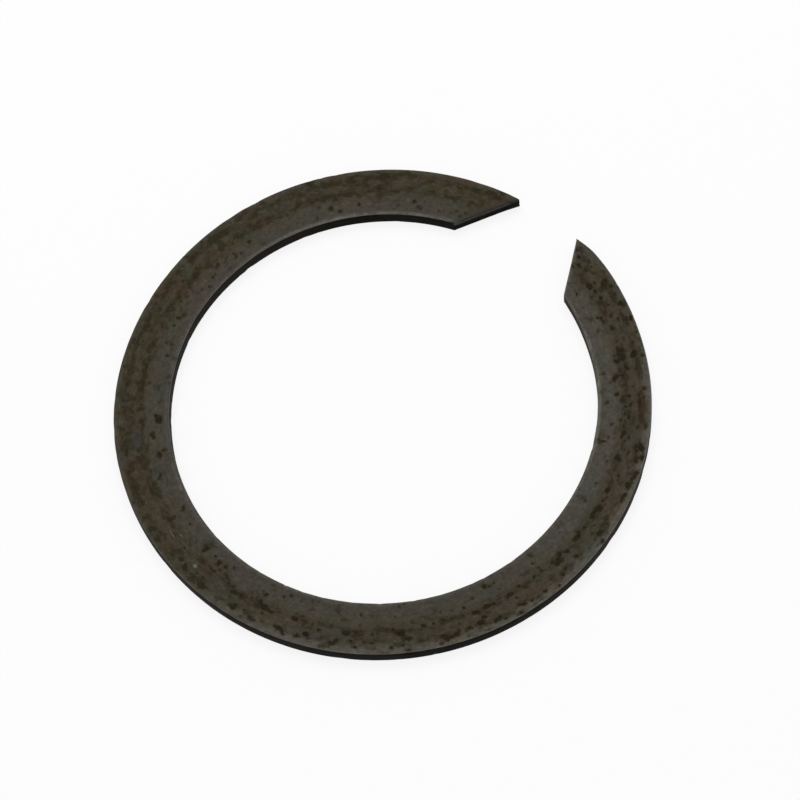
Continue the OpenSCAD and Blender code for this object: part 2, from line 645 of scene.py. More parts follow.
def unroll(places, sizes):
    """Places laid out straight: along the strip from the side opposite the gap, in from the rim, up."""
    middle_radius = (sizes.rim_radius + sizes.bore_radius) / 2
    along = np.arctan2(places[:, 0], -places[:, 1]) * middle_radius
    across = sizes.rim_radius - np.hypot(places[:, 0], places[:, 1])
    return np.column_stack([along, across, places[:, 2]])


def spokes(places):
    """The direction in plan straight out from the ring's axis, at each place."""
    return places[:, :2] / np.hypot(places[:, 0], places[:, 1])[:, None]


def bent_swell(places, unrolled, sizes):
    """How far bending has spread each place, straight out from the ring's axis or in towards it.

    The swell is a squared sine along its stretch of the strip, times how far the place is from the
    strip's middle line, from -1 at the bore to 1 at the rim. Returns moves in x, y and z.
    """
    along_share = (unrolled[:, 0] / MM - SWELL_FROM) / (SWELL_TO - SWELL_FROM)
    bulge = np.sin(math.pi * np.clip(along_share, 0.0, 1.0)) ** 2
    half_width = (sizes.rim_radius - sizes.bore_radius) / 2
    off_middle = 1.0 - unrolled[:, 1] / half_width
    push = sizes.left_swell * bulge * off_middle
    return np.column_stack([push[:, None] * spokes(places), np.zeros(len(places))])


def spread_end(places, unrolled, sizes):
    """How far each place of the right-hand end stands out of the circle.

    Each place moves straight out from the ring's axis by a smooth step along the strip. What then
    comes near the far side of the CAD's box is drawn back along the cut: of a distance x past the
    level where that starts, room times 1 - e^(-x/room) is left. Returns moves in x, y and z.
    """
    share = smooth_step((unrolled[:, 0] / MM - SPREAD_FROM) / (SPREAD_TO - SPREAD_FROM))
    move = sizes.right_spread * share[:, None] * spokes(places)
    room = TIP_ROOM * MM
    past = np.clip(places[:, 1] + move[:, 1] - (node_high.y - room), 0.0, None) * share
    back = past - room * (1.0 - np.exp(-past / room))
    along, _, _ = cut_line(sizes, "right")
    move -= back[:, None] * along / along[1]
    return np.column_stack([move, np.zeros(len(places))])


def marked_length(sizes):
    """How far pits and knocks reach along the strip, each way from the side opposite the gap."""
    return math.pi * (sizes.rim_radius + sizes.bore_radius) / 2 * MARKED_SHARE


def rust_pits(sizes, random):
    """Where rust has eaten in: two narrow rows along the strip, and a scatter over its whole width.

    Returns centres, reaches and strengths on both faces, in unrolled places.
    """
    half_length = marked_length(sizes)
    centres = []
    reaches = []
    for height in (0.0, sizes.thickness):
        for middle, spread, count, longest, largest in RUST_ROWS:
            along = random.uniform(-half_length, half_length, count)
            across = np.clip(random.normal(middle, spread, count), *PIT_MARGINS) * MM
            size = random.uniform(*PIT_SIZES, count) * largest * MM
            longer = random.uniform(1.0, longest, count)
            centres.append(np.column_stack([along, across, np.full(count, height)]))
            reaches.append(np.column_stack([size * longer, size, np.full(count, PIT_REACH_DOWN * MM)]))
    centres = np.concatenate(centres)
    strengths = random.uniform(*PIT_STRENGTHS, len(centres))
    return centres, np.concatenate(reaches), strengths


def edge_nicks(sizes, random):
    """Small knocks along the four long edges. Returns centres, reaches and depths, unrolled."""
    half_length = marked_length(sizes)
    count = NICK_COUNT
    width = sizes.rim_radius - sizes.bore_radius
    along = random.uniform(-half_length, half_length, count)
    across = np.where(random.random(count) < 0.5, 0.0, width)
    height = np.where(random.random(count) < 0.5, 0.0, sizes.thickness)
    centres = np.column_stack([along, across, height])
    length = random.uniform(*NICK_LENGTHS, count) * MM
    reach = random.uniform(*NICK_REACHES, count) * MM
    reaches = np.column_stack([length, reach, reach])
    depths = random.uniform(*NICK_DEPTH_ROOTS, count) ** 2
    return centres, reaches, depths


def cut_distance(places, sizes):
    """How far each place lies from the slanted cut on its own side, in millimetres."""
    distance = np.full(len(places), FAR_FROM_CUT)
    for side, sign in (("right", 1.0), ("left", -1.0)):
        _, into, sharp_point = cut_line(sizes, side)
        mirrored = places[:, :2] * np.array([sign, 1.0])
        away = np.clip((mirrored @ into - sharp_point @ into) / MM, 0.0, FAR_FROM_CUT)
        here = (mirrored[:, 0] > 0.0) & (mirrored[:, 1] > 0.0)
        distance = np.where(here, away, distance)
    return distance


def new_object(name, data):
    """Puts a new object, made of a mesh, a camera or a lamp, into the scene."""
    added = bpy.data.objects.new(name, data)
    bpy.context.scene.collection.objects.link(added)
    return added


def make_piece(name, places, faces, attributes):
    """A mesh object at the origin from whole arrays of places and four-cornered faces."""
    mesh = bpy.data.meshes.new(name)
    mesh.vertices.add(len(places))
    mesh.vertices.foreach_set("co", places.astype(np.float32).ravel())
    mesh.loops.add(faces.size)
    mesh.loops.foreach_set("vertex_index", faces.astype(np.int32).ravel())
    mesh.polygons.add(len(faces))
    mesh.polygons.foreach_set("loop_start", np.arange(0, faces.size, faces.shape[1], dtype=np.int32))
    mesh.update(calc_edges=True)
    mesh.polygons.foreach_set("use_smooth", np.ones(len(faces), dtype=bool))
    for label, values in attributes.items():
        layer = mesh.attributes.new(label, "FLOAT", "POINT")
        layer.data.foreach_set("value", values.astype(np.float32))
    mesh.validate()
    mesh.update()
    return new_object(name, mesh)


def ring_piece(sizes):
    """The ring's skin, bent as the real one is, with its waves, pits and nicks pressed into it."""
    random = np.random.default_rng(sizes.seed)
    places, normals, faces, upright = closed_shell(sizes)
    unrolled = unroll(places, sizes)
    unevenness = waves(places, random, WAVE_COUNT, WAVE_LENGTH * MM, WAVE_HEIGHT * MM)
    pitting = np.clip(hollows(unrolled, *rust_pits(sizes, random)), 0.0, STRONGEST_PITTING)
    nicks = np.clip(hollows(unrolled, *edge_nicks(sizes, random)), 0.0, 1.0)
    depth = SKIN_DEPTH * MM + unevenness + sizes.pit_depth * pitting + sizes.nick_depth * nicks
    skin = places - depth[:, None] * normals
    skin += bent_swell(places, unrolled, sizes) + spread_end(places, unrolled, sizes)
    marks = {
        "upright": upright,
        "pitting": pitting,
        "nicks": nicks,
        "cut_distance": cut_distance(places, sizes),
    }
    return make_piece("ring", skin, faces, marks)


# Node trees


class Nodes:
    """Adds nodes to one tree and joins them: a value may be a number, a colour or a socket."""

    def __init__(self, tree):
        self.tree = tree

    def add(self, kind, values=None, **settings):
        node = self.tree.nodes.new(kind)
        for setting, value in settings.items():
            setattr(node, setting, value)
        for socket, value in (values or {}).items():
            self.feed(node.inputs[socket], value)
        return node

    def feed(self, socket, value):
        if isinstance(value, bpy.types.NodeSocket):
            self.tree.links.new(value, socket)
        else:
            socket.default_value = value

    def math(self, operation, *values, clamp=False):
        node = self.add("ShaderNodeMath", operation=operation, use_clamp=clamp)
        for socket, value in zip(node.inputs, values):
            self.feed(socket, value)
        return node.outputs[0]

    def ramp(self, value, low, high, out_low=0.0, out_high=1.0):
        """Carries the value from low..high to out_low..out_high with level ends."""
        ends = {"Value": value, "From Min": low, "From Max": high, "To Min": out_low, "To Max": out_high}
        return self.add("ShaderNodeMapRange", ends, interpolation_type="SMOOTHSTEP").outputs[0]

    def between(self, share, first, last):
        """Carries a share of 0 to 1 from a first value to a last one with level ends."""
        return self.ramp(share, 0.0, 1.0, first, last)

    def scaled(self, value, gain, base):
        """Gain times the value, plus a base."""
        return self.math("MULTIPLY_ADD", value, gain, base)

    def rest(self, share):
        """What a share leaves of 1."""
        return self.math("SUBTRACT", 1.0, share)

    def centred(self, noise):
        """A noise of 0 to 1, moved so that it lies evenly about 0."""
        return self.math("SUBTRACT", noise, 0.5)

    def decay(self, value):
        """e to the minus the value: 1 at 0, and soon next to nothing."""
        return self.math("EXPONENT", self.math("MULTIPLY", value, -1.0))

    def times(self, *values):
        product = values[0]
        for value in values[1:]:
            product = self.math("MULTIPLY", product, value)
        return product

    def largest(self, *values):
        result = values[0]
        for value in values[1:]:
            result = self.math("MAXIMUM", result, value)
        return result

    def blend(self, share, first, second, kind="MIX"):
        """Mixes two colours."""
        node = self.add("ShaderNodeMix", data_type="RGBA", blend_type=kind)
        for index, value in ((0, share), (6, first), (7, second)):
            self.feed(node.inputs[index], value)
        return node.outputs[2]

    def noise(self, place, scale, detail, roughness):
        values = {"Vector": place, "Scale": scale, "Detail": detail, "Roughness": roughness}
        return self.add("ShaderNodeTexNoise", values).outputs[0]

    def cells(self, place):
        """A Voronoi pattern of cells about one unit wide. Returns its outputs by name."""
        values = {"Vector": place, "Scale": 1.0, "Randomness": 1.0}
        return self.add("ShaderNodeTexVoronoi", values).outputs

    def three(self, along, across, up):
        """Joins three values to one vector."""
        return self.add("ShaderNodeCombineXYZ", {0: along, 1: across, 2: up}).outputs[0]

    def stretched(self, place, factors):
        """Multiplies a place by three factors, so that a pattern is drawn out or packed."""
        return self.add("ShaderNodeVectorMath", {0: place, 1: factors}, operation="MULTIPLY").outputs[0]

    def drawn_out(self, place, size, stretch):
        """Scales a place so that a pattern's features are of a size, and longer along the strip."""
        across_scale = self.math("DIVIDE", 1.0, size)
        along_scale = self.math("DIVIDE", across_scale, stretch)
        return self.stretched(place, self.three(along_scale, across_scale, across_scale))

    def group(self, tree, values):
        node = self.add("ShaderNodeGroup")
        node.node_tree = tree
        for socket, value in values.items():
            self.feed(node.inputs[socket], value)
        return node.outputs


def new_group(name, inputs, outputs):
    """An empty shader node group. Returns its builder, its inputs and its outputs, both by name."""
    tree = bpy.data.node_groups.new(name, "ShaderNodeTree")
    for label, (kind, default) in inputs.items():
        socket = tree.interface.new_socket(label, in_out="INPUT", socket_type=kind)
        if default is not None:
            socket.default_value = default
    for label, kind in outputs.items():
        tree.interface.new_socket(label, in_out="OUTPUT", socket_type=kind)
    build = Nodes(tree)
    return build, build.add("NodeGroupInput").outputs, build.add("NodeGroupOutput").inputs


def fresh_nodes(owner):
    """Gives a material or a world an empty node tree. Returns the tree's builder."""
    owner.use_nodes = True
    owner.node_tree.nodes.clear()
    return Nodes(owner.node_tree)


def arrange(tree):
    """Lays the nodes out in columns, each one to the right of all that feeds it."""
    step_right = 220
    step_down = 190
    depth = {}

    def column(node):
        if node.name not in depth:
            feeds = [link.from_node for socket in node.inputs for link in socket.links]
            depth[node.name] = 1 + max((column(n) for n in feeds), default=-1)
        return depth[node.name]

    filled = {}
    for node in tree.nodes:
        x = column(node)
        node.location = (x * step_right, -filled.get(x, 0) * step_down)
        filled[x] = filled.get(x, 0) + 1


def give_out(build, made, results):
    """Ends a node group: feeds its outputs and lays its nodes out. Returns its tree."""
    for label, value in results.items():
        build.feed(made[label], value)
    arrange(build.tree)
    return build.tree


FLOAT = "NodeSocketFloat"
VECTOR = "NodeSocketVector"


def strip_place_group(sizes):
    """Object coordinates laid out straight, in millimetres: along the strip, in from the rim, up."""
    build, given, made = new_group(
        "Strip place",
        {
            "Object": (VECTOR, None),
            "Rim radius": (FLOAT, sizes.rim_radius / MM),
            "Middle radius": (FLOAT, (sizes.rim_radius + sizes.bore_radius) / 2 / MM),
        },
        {"Place": VECTOR, "Along": FLOAT, "Across": FLOAT, "Up": FLOAT},
    )
    in_mm = build.stretched(given["Object"], (1 / MM, 1 / MM, 1 / MM))
    parts = build.add("ShaderNodeSeparateXYZ", {0: in_mm}).outputs
    angle = build.math("ARCTAN2", parts[0], build.math("MULTIPLY", parts[1], -1.0))
    along = build.math("MULTIPLY", angle, given["Middle radius"])
    squares = build.math("MULTIPLY", parts[0], parts[0])
    squares = build.math("MULTIPLY_ADD", parts[1], parts[1], squares)
    across = build.math("SUBTRACT", given["Rim radius"], build.math("SQRT", squares))
    place = build.three(along, across, parts[2])
    return give_out(build, made, {"Place": place, "Along": along, "Across": across, "Up": parts[2]})


def freckles_group():
    """Separate spots of rust: one in some of the cells of a Voronoi pattern, dark in the middle."""
    build, given, made = new_group(
        "Rust freckles",
        {
            "Place": (VECTOR, None),
            "Spacing": (FLOAT, 1.0),
            "Stretch": (FLOAT, 1.0),
            "Share": (FLOAT, 0.5),
            "Size": (FLOAT, 0.3),
            "Ragged": (FLOAT, 0.1),
            "Core": (FLOAT, 0.3),
        },
        {"Mask": FLOAT},
    )
    cells = build.cells(build.drawn_out(given["Place"], given["Spacing"], given["Stretch"]))
    luck = build.add("ShaderNodeSeparateColor", {0: cells["Color"]}).outputs
    grain = build.noise(given["Place"], scale=3.4, detail=3.0, roughness=0.65)
    ragged = build.math("MULTIPLY", build.centred(grain), given["Ragged"])
    distance = build.math("ADD", cells["Distance"], ragged)
    radius = build.math("MULTIPLY", given["Size"], build.between(luck[1], 0.5, 1.35))
    spot = build.ramp(distance, build.math("MULTIPLY", radius, given["Core"]), radius, 1.0, 0.0)
    present = build.math("LESS_THAN", luck[0], given["Share"])
    weight = build.math("MULTIPLY", present, build.between(luck[2], 0.5, 1.0))
    return give_out(build, made, {"Mask": build.math("MULTIPLY", spot, weight)})


def clotted_group():
    """Breaks the mesh's smooth pits into ragged clots: a Voronoi pattern and a noise are added to
    the pitting, and the sum is cut off at one level for the core and a lower one for the halo."""
    build, given, made = new_group(
        "Clotted pits",
        {
            "Place": (VECTOR, None),
            "Pitting": (FLOAT, 0.0),
            "Clot size": (FLOAT, 0.4),
            "Ragged": (FLOAT, 0.75),
        },
        {"Core": FLOAT, "Halo": FLOAT},
    )
    grain = build.noise(given["Place"], scale=3.0, detail=3.0, roughness=0.6)
    cells = build.cells(build.drawn_out(given["Place"], given["Clot size"], 1.0))
    clot = build.ramp(cells["Distance"], low=0.1, high=0.65, out_low=1.25, out_high=0.7)
    field = build.math("MULTIPLY", given["Pitting"], clot)
    field = build.math("MULTIPLY_ADD", build.centred(grain), given["Ragged"], field)
    core = build.ramp(field, low=0.18, high=0.80)
    halo = build.ramp(field, low=0.04, high=0.34)
    return give_out(build, made, {"Core": core, "Halo": halo})


def row_group():
    """A soft-edged row along the strip: e to the minus squared distance from its middle."""
    build, given, made = new_group(
        "Row along the strip",
        {"Across": (FLOAT, 0.0), "Middle": (FLOAT, 1.0), "Half width": (FLOAT, 0.5)},
        {"Mask": FLOAT},
    )
    off_middle = build.math("SUBTRACT", given["Across"], given["Middle"])
    away = build.math("DIVIDE", off_middle, given["Half width"])
    squared = build.math("MULTIPLY", away, away)
    return give_out(build, made, {"Mask": build.decay(squared)})


def mark_group():
    """One ragged mark at a place on the top face: e to the minus fourth power of the distance."""
    build, given, made = new_group(
        "Single mark",
        {
            "Place": (VECTOR, None),
            "Along": (FLOAT, 0.0),
            "Across": (FLOAT, 0.0),
            "Half length": (FLOAT, 1.0),
            "Half width": (FLOAT, 1.0),
            "Least height": (FLOAT, 1.0),
        },
        {"Mask": FLOAT},
    )
    parts = build.add("ShaderNodeSeparateXYZ", {0: given["Place"]}).outputs
    grain = build.noise(given["Place"], scale=2.6, detail=2.0, roughness=0.6)
    total = build.scaled(grain, gain=1.6, base=-0.8)
    for part, middle, half in ((parts[0], "Along", "Half length"), (parts[1], "Across", "Half width")):
        away = build.math("DIVIDE", build.math("SUBTRACT", part, given[middle]), given[half])
        total = build.math("MULTIPLY_ADD", away, away, total)
    total = build.math("MAXIMUM", total, 0.0)
    spot = build.decay(build.math("MULTIPLY", total, total))
    # Marks lie only above the least height, on the upper part of the strip
    on_top = build.math("GREATER_THAN", parts[2], given["Least height"])
    return give_out(build, made, {"Mask": build.math("MULTIPLY", spot, on_top)})


def patches_group():
    """Patches with soft edges: a noise drawn out along the strip, cut off at a level."""
    build, given, made = new_group(
        "Soft patches",
        {
            "Place": (VECTOR, None),
            "Size": (FLOAT, 1.0),
            "Stretch": (FLOAT, 1.0),
            "Level": (FLOAT, 0.5),
            "Softness": (FLOAT, 0.1),
        },
        {"Mask": FLOAT},
    )
    features = build.drawn_out(given["Place"], given["Size"], given["Stretch"])
    noise = build.noise(features, scale=1.0, detail=4.0, roughness=0.55)
    low = build.math("SUBTRACT", given["Level"], given["Softness"])
    high = build.math("ADD", given["Level"], given["Softness"])
    return give_out(build, made, {"Mask": build.ramp(noise, low, high)})


def grain_group():
    """Dull mottle of tumbled steel: fine grain, blotches a few tenths wide and faint rolling lines."""
    build, given, made = new_group(
        "Tumbled grain", {"Place": (VECTOR, None)}, {"Shade": FLOAT, "Height": FLOAT}
    )
    place = given["Place"]
    grain = build.noise(place, scale=5.5, detail=2.0, roughness=0.6)
    rolled = build.noise(build.stretched(place, (0.8, 3.4, 3.4)), scale=1.0, detail=2.0, roughness=0.5)
    mottle = build.noise(build.stretched(place, (1.5, 1.9, 1.9)), scale=1.0, detail=4.0, roughness=0.62)
    speckle = build.noise(build.stretched(place, (-1.9, 2.3, 2.3)), scale=1.0, detail=3.0, roughness=0.6)
    both = build.scaled(rolled, gain=0.5, base=grain)
    shade = build.scaled(mottle, gain=1.4, base=both)
    shade = build.scaled(build.ramp(speckle, low=0.52, high=0.74), gain=0.5, base=shade)
    # About the mean of the sum, taken off so that the shade lies on both sides of 0
    mean = 1.5
    return give_out(build, made, {"Shade": build.math("SUBTRACT", shade, mean), "Height": both})


class SteelLayers:
    """Lays the steel's colour on layer by layer: each layer takes the colour below and adds its own."""

    def __init__(self, build, sizes, finish):
        self.build = build
        self.finish = finish
        self.thickness = sizes.thickness / MM
        self.rows = row_group()
        self.patch_tree = patches_group()
        self.spot_tree = freckles_group()
        self.clot_tree = clotted_group()
        self.mark_tree = mark_group()
        object_place = build.add("ShaderNodeTexCoord").outputs["Object"]
        laid_out = build.group(strip_place_group(sizes), {"Object": object_place})
        self.place = laid_out["Place"]
        self.along = laid_out["Along"]
        self.across = laid_out["Across"]
        self.up = laid_out["Up"]
        # Two more places, turned over and drawn out a little, so that patterns differ from one another
        self.second = build.stretched(self.place, (0.9, -1.0, 1.3))
        self.third = build.stretched(self.place, (-1.0, 0.9, 1.6))
        self.upright = self.attribute("upright")
        self.pitting = self.attribute("pitting")
        self.nicks = self.attribute("nicks")
        self.from_cut = self.attribute("cut_distance")
        self.grain = build.group(grain_group(), {"Place": self.place})
        # The left-hand half of the ring is smeared, the right-hand half freckled
        self.smeared = self.ends(self.along, SMEARED_TO_FRECKLED)
        self.right_hand = self.starts(self.along, LEFT_TO_RIGHT)
        self.left_hand = build.rest(self.right_hand)
        outer_row = self.row(OUTER_ROW, ROW_HALF_WIDTH)
        inner_row = self.row(INNER_ROW, ROW_HALF_WIDTH)
        self.in_rows = build.largest(outer_row, inner_row)

    def attribute(self, name):
        return self.build.add("ShaderNodeAttribute", attribute_name=name).outputs["Fac"]

    def colour(self, name):
        return (*getattr(self.finish, name), 1.0)

    def starts(self, value, stretch, before=0.0, after=1.0):
        """Comes in over a stretch of the value."""
        return self.build.ramp(value, *stretch, before, after)

    def ends(self, value, stretch, before=1.0, after=0.0):
        """Fades over a stretch of the value."""
        return self.build.ramp(value, *stretch, before, after)

    def near_top(self, stretch):
        """Comes in going up a wall, over a stretch given in millimetres below the top face."""
        low, high = stretch
        return self.starts(self.up, (self.thickness - low, self.thickness - high))

    def row(self, middle, half_width):
        values = {"Across": self.across, "Middle": middle, "Half width": half_width}
        return self.build.group(self.rows, values)["Mask"]

    def patches(self, place, size, stretch, level, softness):
        values = {"Place": place, "Size": size, "Stretch": stretch, "Level": level, "Softness": softness}
        return self.build.group(self.patch_tree, values)["Mask"]

    def bare_steel(self):
        """Dulled steel with cooler patches that stayed clean, most of all in the inner third."""
        build = self.build
        patches = self.patches(self.place, size=3.2, stretch=1.5, level=0.52, softness=0.12)
        clean = build.largest(patches, self.starts(self.across, CLEAN_STARTS, after=0.8))
        return build.blend(clean, self.colour("steel"), self.colour("clean_steel"))

    def brown_film(self, surface):
        """A thin film over the outer half of the strip, olive in places and redder in others."""
        build = self.build
        olive = self.patches(self.second, size=2.6, stretch=1.4, level=0.52, softness=0.1)
        film = build.blend(olive, self.colour("film"), self.colour("olive"))
        red = self.patches(self.third, size=3.2, stretch=1.4, level=0.54, softness=0.12)
        film = build.blend(build.times(red, RED_FILM), film, self.colour("red_rust"))
        outer = self.ends(self.across, FILM_ENDS, after=0.1)
        off_rim = self.starts(self.across, RIM_FILM_STARTS, before=0.35)
        thinner = self.patches(self.place, size=0.8, stretch=1.3, level=0.5, softness=0.14)
        uneven = build.between(thinner, 0.35, 1.0)
        thick = build.between(self.smeared, 0.62, 0.95)
        return build.blend(build.times(outer, off_rim, uneven, thick), surface, film)

    def pale_margins(self, surface):
        """Paler steel beside the rim, the bore and the right-hand cut, worn by rubbing. Along the rim on
        the lit right-hand side, and along the bore near the gap, it is also a painted highlight.
        """
        build = self.build
        drawn_out = build.stretched(self.place, (0.6, 2.5, 2.5))
        rub_noise = build.noise(drawn_out, scale=1.0, detail=3.0, roughness=0.6)
        self.rub = self.starts(rub_noise, RUB_STARTS, before=0.35)
        # The lit right-hand side, where the rim gets a painted highlight as well as wear
        pale_end = self.ends(self.along, PALE_RIM_ENDS, after=0.15)
        highlit_side = build.times(self.starts(self.along, PALE_RIM_STARTS), pale_end)
        near_gap = self.starts(build.math("ABSOLUTE", self.along), PALE_BORE_STARTS)
        rim = build.times(self.row(*RIM_MARGIN), build.scaled(highlit_side, gain=0.42, base=0.04))
        bore = build.times(self.row(*BORE_MARGIN), build.scaled(near_gap, gain=0.5, base=0.24))
        cut = build.times(self.ends(self.from_cut, RUBBED_CUT), self.right_hand, RUBBED_ALONG_CUT)
        wide_rim = build.times(self.row(*WIDE_RIM_MARGIN), highlit_side, LIT_AND_RUBBED_WIDE_RIM)
        heel = build.times(
            self.starts(self.along, PALE_HEEL_STARTS),
            self.starts(self.across, PALE_HEEL_ACROSS),
            RUBBED_HEEL,
        )
        margin = build.largest(build.times(build.largest(rim, bore, cut), self.rub), wide_rim, heel)
        return build.blend(margin, surface, self.colour("bare_edge_and_highlight"))

    def old_rust(self, surface):
        """Soft dark blotches in the two rows, clotted pits, finer freckles, and olive halos."""
        build = self.build
        level = build.scaled(self.in_rows, gain=-0.14, base=0.645)
        blotches = self.patches(self.second, size=0.9, stretch=1.35, level=level, softness=0.1)
        clots = build.group(self.clot_tree, {"Place": self.place, "Pitting": self.pitting})
        inner_left = build.times(self.starts(self.across, INNER_PITS_START), self.smeared, INNER_PITS)
        pit_share = build.math("ADD", build.between(self.smeared, 1.0, 0.62), inner_left)
        pits = build.times(clots["Core"], pit_share)
        share = build.scaled(self.in_rows, gain=0.35, base=0.1)
        freckles = build.group(self.spot_tree, {
            "Place": self.place, "Spacing": 0.5, "Stretch": 1.3, "Share": share,
            "Size": 0.5, "Ragged": 0.5, "Core": 0.2,
        })
        small = build.times(freckles["Mask"], build.between(self.smeared, 0.75, 0.3))
        self.rust = build.largest(pits, small, build.times(blotches, BLOTCHES))
        olive = self.patches(self.third, size=1.6, stretch=1.3, level=0.48, softness=0.1)
        surface = build.blend(build.times(clots["Halo"], olive, HALOS), surface, self.colour("olive"))
        green = self.patches(self.third, size=1.8, stretch=1.4, level=0.5, softness=0.1)
        rust = build.blend(green, self.colour("dark_rust"), self.colour("dark_olive"))
        return build.blend(build.times(self.rust, RUST_COVER), surface, rust)

    def single_marks(self, surface):
        """The few marks that stand out on the ring: stains, a scraped patch and bright specks."""
        build = self.build
        for name, strength, along, across, half_length, half_width in SINGLE_MARKS:
            mark = build.group(self.mark_tree, {
                "Place": self.place, "Along": along, "Across": across,
                "Half length": half_length, "Half width": half_width,
            })
            surface = build.blend(build.times(mark["Mask"], strength), surface, self.colour(name))
        return surface

    def mottle(self, surface):
        """Lightens and darkens everything, and lets the hue drift between green and red."""
        build = self.build
        shade = build.scaled(self.grain["Shade"], gain=SHADE_RANGE, base=1.0)
        shades = build.add("ShaderNodeCombineColor", {0: shade, 1: shade, 2: shade}).outputs[0]
        surface = build.blend(1.0, surface, shades, "MULTIPLY")
        wide = build.stretched(self.third, (0.3, 0.45, 0.45))
        drift = build.noise(wide, scale=1.0, detail=2.0, roughness=0.5)
        tint = build.blend(self.starts(drift, HUE_TURNS), GREENER, REDDER)
        return build.blend(1.0, surface, tint, "MULTIPLY")

    def edges(self, surface):
        """Steel worn bare and a painted highlight on the rounded edges, and bare steel in their knocks.
        The left-hand cut's rolled-over edge gets painted shade, a darker colour, weaker where the edge
        turns down."""
        build = self.build
        # Painted shade on the left-hand cut's rolled-over edge, weaker where the edge turns down
        painted_shade = self.ends(self.upright, ROLLED_EDGE, after=0.55)
        dark = build.times(self.ends(self.from_cut, ROLLED_CUT, before=0.7), self.left_hand, painted_shade)
        surface = build.blend(dark, surface, self.colour("shaded_cut_edge"))
        on_rim = self.ends(self.across, DULL_RIM_FADES)
        dull_rim = build.times(on_rim, self.ends(self.along, DULL_RIM_ENDS, before=0.45))
        undulled = build.math("SUBTRACT", LIT_AND_RUBBED_EDGES, dull_rim)
        spare = build.math("SUBTRACT", undulled, dark, clamp=True)
        # Painted highlight and wear on the rounded edges, less of it along the left-hand rim
        turned = build.times(self.starts(self.upright, RUBBED_EDGE), self.rub, spare)
        knocked = build.times(self.starts(self.nicks, KNOCKS_SHOW), spare, RUBBED_KNOCKS)
        self.rubbed_and_lit = build.largest(turned, knocked)
        return build.blend(self.rubbed_and_lit, surface, self.colour("bare_edge_and_highlight"))

    def walls(self, surface):
        """Painted shade on the walls: near-black, lighter over long stretches and in patches, with rust
        in streaks, the face's colour at the top of the left-hand cut's wall, and a painted highlight
        along the tops of the walls towards the right-hand end.
        """
        build = self.build
        at_cut = self.ends(self.from_cut, CUT_WALL)
        left_walls = build.times(
            self.starts(self.along, PALE_LEFT_WALL_STARTS, before=0.05, after=0.5),
            self.ends(self.along, PALE_LEFT_WALL_ENDS, after=0.05),
        )
        right_walls = self.starts(self.along, PALE_RIGHT_WALL_STARTS, after=0.4)
        thin = self.patches(self.place, size=2.2, stretch=2.5, level=0.5, softness=0.14)
        both_sides = build.math("ADD", left_walls, right_walls)
        worn = build.math("ADD", both_sides, build.times(thin, PALER_WALL_PATCHES))
        worn = build.times(worn, build.rest(at_cut))
        # Painted shade: the walls' near-black colour, lighter over the stretches and patches above
        wall = build.blend(worn, self.colour("wall"), self.colour("pale_wall"))
        streaks = self.patches(self.second, size=0.7, stretch=3.0, level=0.55, softness=0.1)
        wall = build.blend(build.times(streaks, WALL_RUST), wall, self.colour("dark_rust"))
        rolled = self.near_top(ROLLED_STARTS)
        wall = build.blend(build.times(at_cut, self.left_hand, rolled), wall, surface)
        # Painted highlight: bare steel along the tops of the walls towards the right-hand end
        top = self.near_top(BRIGHT_TOP_STARTS)
        bright = build.times(self.starts(self.along, BRIGHT_WALL_STARTS), top, BRIGHT_WALL)
        wall = build.blend(bright, wall, self.colour("bare_edge_and_highlight"))
        self.wall_share = self.starts(self.upright, WALL_STARTS)
        return build.blend(self.wall_share, surface, wall)


def steel_material(sizes, finish):
    """Blackened spring steel: film, blotches and freckles in rows, edges worn bare with a painted
    highlight, and walls painted near-black as shade.
    """
    material = bpy.data.materials.new("worn_blackened_steel")
    build = fresh_nodes(material)
    layers = SteelLayers(build, sizes, finish)
    surface = layers.bare_steel()
    for layer in (
        layers.brown_film,
        layers.pale_margins,
        layers.old_rust,
        layers.single_marks,
        layers.mottle,
        layers.edges,
        layers.walls,
    ):
        surface = layer(surface)
    on_face = build.rest(layers.wall_share)
    metallic = build.times(layers.rubbed_and_lit, on_face, METAL_SHARE)
    roughness = build.scaled(layers.rust, gain=0.22, base=0.6)
    half_grain = build.math("MULTIPLY", layers.grain["Height"], 0.5)
    height = build.scaled(layers.rust, gain=-0.6, base=half_grain)
    bump = build.add("ShaderNodeBump", {"Strength": 0.5, "Distance": 0.00003, "Height": height})
    shader = build.add("ShaderNodeBsdfPrincipled", {
        "Base Color": surface, "Metallic": metallic, "Roughness": roughness, "Normal": bump.outputs[0],
        "Specular IOR Level": 0.015,
    })
    build.add("ShaderNodeOutputMaterial", {"Surface": shader.outputs[0]})
    arrange(build.tree)
    return material


# The stage


def seen_directly(build):
    """1 for what the camera sees, straight on or in a gloss, and 0 for light on its way to a surface."""
    path = build.add("ShaderNodeLightPath").outputs
    straight = build.math("MAXIMUM", path["Is Camera Ray"], path["Is Glossy Ray"])
    return build.math("MAXIMUM", straight, path["Is Transmission Ray"])


def make_camera(stage):
    """A camera that looks just past the ring's centre, rolled a little."""
    side, rise, roll = stage.azimuth, stage.elevation, stage.roll
    back = Vector((math.sin(side) * math.cos(rise), -math.cos(side) * math.cos(rise), math.sin(rise)))
    level = Vector((math.cos(side), math.sin(side), 0.0))
    right = level * math.cos(roll) + back.cross(level) * math.sin(roll)
    up = back.cross(right)
    data = bpy.data.cameras.new("camera")
    data.lens = stage.lens
    data.sensor_width = 36.0
    data.clip_start = 0.01
    data.clip_end = 10.0
    camera = new_object("camera", data)
    camera.location = right * stage.aim_right + up * stage.aim_up + back * stage.distance
    camera.rotation_euler = Matrix((right, up, back)).transposed().to_euler()
    bpy.context.scene.camera = camera


